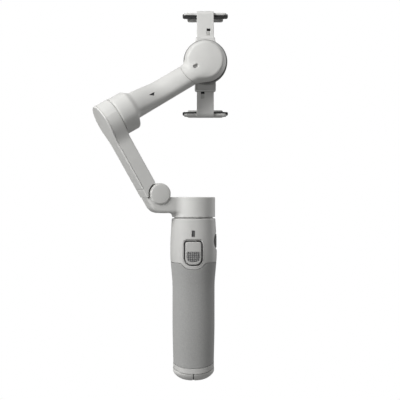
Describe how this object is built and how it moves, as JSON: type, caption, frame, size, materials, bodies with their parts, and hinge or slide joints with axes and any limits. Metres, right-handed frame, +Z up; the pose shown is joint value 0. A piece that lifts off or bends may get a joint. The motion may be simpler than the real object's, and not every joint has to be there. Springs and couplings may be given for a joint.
{
  "type": "gimbal stabilizer",
  "caption": "Folding three-axis phone gimbal on a handle with trigger, dial, stick, telescopic rod, stowed tripod legs and spring clamp.",
  "frame": {"origin": "centre of the handle's flat bottom, on the pan axis", "axes": "+Z up the handle and pan axis, +Y towards the user and the phone's screen, +X to the right as seen from the trigger side"},
  "size_m": [0.1056, 0.0746, 0.2952],
  "materials": {
    "shell_plastic": "fine satin moulded",
    "clamp_plastic": "satin",
    "grip_rubber": "fine matte skin",
    "control_plastic": "satin",
    "record_plastic": "satin",
    "dark_plastic": "matte",
    "dial_plastic": "ribbed matte",
    "pad_rubber": "matte",
    "window_plastic": "smooth",
    "bright_steel": "brushed",
    "magnet_steel": "plain",
    "winding_copper": "wound wire",
    "battery_wrap": "film",
    "circuit_board": "solder mask"
  },
  "bodies": {
    "handle": {"control_housing": "shell_plastic", "grip_sleeve": "grip_rubber", "grip_frame": "dark_plastic", "base_ring": "shell_plastic", "core_tube": "dark_plastic", "battery_pack": "battery_wrap", "rod_guide": "bright_steel", "main_board": "circuit_board", "joystick_base": "dark_plastic", "control_panel": "shell_plastic", "status_window": "window_plastic", "usb_port": "bright_steel", "dial_axle": "bright_steel", "trigger_bezel": "shell_plastic"},
    "trigger": {"trigger": "control_plastic"},
    "dial": {"side_dial": "dial_plastic"},
    "stick_yoke": {"joystick_yoke": "bright_steel"},
    "stick": {"joystick_cap": "dark_plastic"},
    "record": {"record_button": "record_plastic"},
    "mode": {"mode_button": "control_plastic"},
    "tripod": {"tripod_slider": "bright_steel", "tripod_leg_1": "shell_plastic", "tripod_leg_2": "shell_plastic", "tripod_leg_3": "shell_plastic", "leg_pin_1": "bright_steel", "leg_pin_2": "bright_steel", "leg_pin_3": "bright_steel"},
    "rod_1": {"rod_stage_1": "bright_steel"},
    "rod_2": {"rod_stage_2": "bright_steel"},
    "rod_3": {"rod_stage_3": "bright_steel"},
    "rod_4": {"rod_stage_4": "bright_steel", "rod_head": "bright_steel", "pan_base_plate": "dark_plastic", "pan_stator": "winding_copper"},
    "pan": {"pan_housing": "shell_plastic", "pan_top_cover": "shell_plastic", "pan_rotor_ring": "magnet_steel", "fold_pin": "bright_steel", "fold_cap": "shell_plastic"},
    "lower_arm": {"lower_arm_body": "shell_plastic", "lower_arm_cover": "shell_plastic", "tilt_stator": "winding_copper", "arm_board": "circuit_board"},
    "upper_arm": {"upper_arm_tube": "shell_plastic", "tilt_rotor_ring": "magnet_steel", "upper_arm_end_shell": "shell_plastic", "sensor_window": "window_plastic", "roll_stator": "winding_copper"},
    "clamp": {"roll_rotor_can": "clamp_plastic", "roll_rotor_ring": "magnet_steel", "clamp_bracket": "clamp_plastic", "clamp_back_pad": "pad_rubber"},
    "jaw_up": {"upper_jaw": "clamp_plastic", "upper_jaw_pad": "pad_rubber"},
    "jaw_down": {"lower_jaw": "clamp_plastic", "lower_jaw_pad": "pad_rubber"}
  },
  "joints": [
    {"name": "rod_slide_1", "type": "slide", "parent": "handle", "child": "rod_1", "axis": [0, 0, 1], "range_m": [0, 0.05375]},
    {"name": "rod_slide_2", "type": "slide", "parent": "rod_1", "child": "rod_2", "axis": [0, 0, 1], "range_m": [0, 0.05375]},
    {"name": "rod_slide_3", "type": "slide", "parent": "rod_2", "child": "rod_3", "axis": [0, 0, 1], "range_m": [0, 0.05375]},
    {"name": "rod_slide_4", "type": "slide", "parent": "rod_3", "child": "rod_4", "axis": [0, 0, 1], "range_m": [0, 0.05375]},
    {"name": "pan_turn", "type": "hinge", "parent": "rod_4", "child": "pan", "pos_m": [0, 0, 0.135], "axis": [0, 0, 1], "range_deg": [-160, 170]},
    {"name": "arm_fold", "type": "hinge", "parent": "pan", "child": "lower_arm", "pos_m": [-0.02845, -0.00952, 0.1459], "axis": [-0.3173, 0.9483, 0], "range_deg": [0, 108]},
    {"name": "tilt_turn", "type": "hinge", "parent": "lower_arm", "child": "upper_arm", "pos_m": [-0.06022, -0.02015, 0.20392], "axis": [0.8213, 0.2748, 0.5], "range_deg": [-100, 120]},
    {"name": "roll_turn", "type": "hinge", "parent": "upper_arm", "child": "clamp", "pos_m": [0.0094, 0, 0.2521], "axis": [0, 1, 0], "range_deg": [-120, 190]},
    {"name": "upper_jaw_slide", "type": "slide", "parent": "clamp", "child": "jaw_up", "axis": [0, 0, 1], "range_m": [-0.0053, 0.0032], "stiffness_N_per_m": 300},
    {"name": "lower_jaw_slide", "type": "slide", "parent": "clamp", "child": "jaw_down", "axis": [0, 0, -1], "range_m": [-0.0053, 0.0032], "stiffness_N_per_m": 300},
    {"name": "trigger_press", "type": "slide", "parent": "handle", "child": "trigger", "axis": [0, 1, 0], "range_m": [0, 0.0012], "stiffness_N_per_m": 1000},
    {"name": "dial_turn", "type": "hinge", "parent": "handle", "child": "dial", "pos_m": [0.0165, 0, 0.10905], "axis": [1, 0, 0], "continuous": true},
    {"name": "stick_up_down", "type": "hinge", "parent": "handle", "child": "stick_yoke", "pos_m": [0, 0.015, 0.112], "axis": [1, 0, 0], "range_deg": [-15, 15], "stiffness_Nm_per_rad": 0.08},
    {"name": "stick_left_right", "type": "hinge", "parent": "stick_yoke", "child": "stick", "pos_m": [0, 0.015, 0.112], "axis": [0, 0, 1], "range_deg": [-15, 15], "stiffness_Nm_per_rad": 0.08},
    {"name": "record_press", "type": "slide", "parent": "handle", "child": "record", "axis": [0, -1, 0], "range_m": [0, 0.0006], "stiffness_N_per_m": 1000},
    {"name": "mode_press", "type": "slide", "parent": "handle", "child": "mode", "axis": [0, -1, 0], "range_m": [0, 0.0006], "stiffness_N_per_m": 1000},
    {"name": "tripod_pull", "type": "slide", "parent": "handle", "child": "tripod", "axis": [0, 0, -1], "range_m": [0, 0.038]}
  ],
  "couplings": [
    {"joint": "rod_slide_2", "follows": "rod_slide_1", "ratio": 1},
    {"joint": "rod_slide_3", "follows": "rod_slide_1", "ratio": 1},
    {"joint": "rod_slide_4", "follows": "rod_slide_1", "ratio": 1},
    {"joint": "lower_jaw_slide", "follows": "upper_jaw_slide", "ratio": 1}
  ]
}
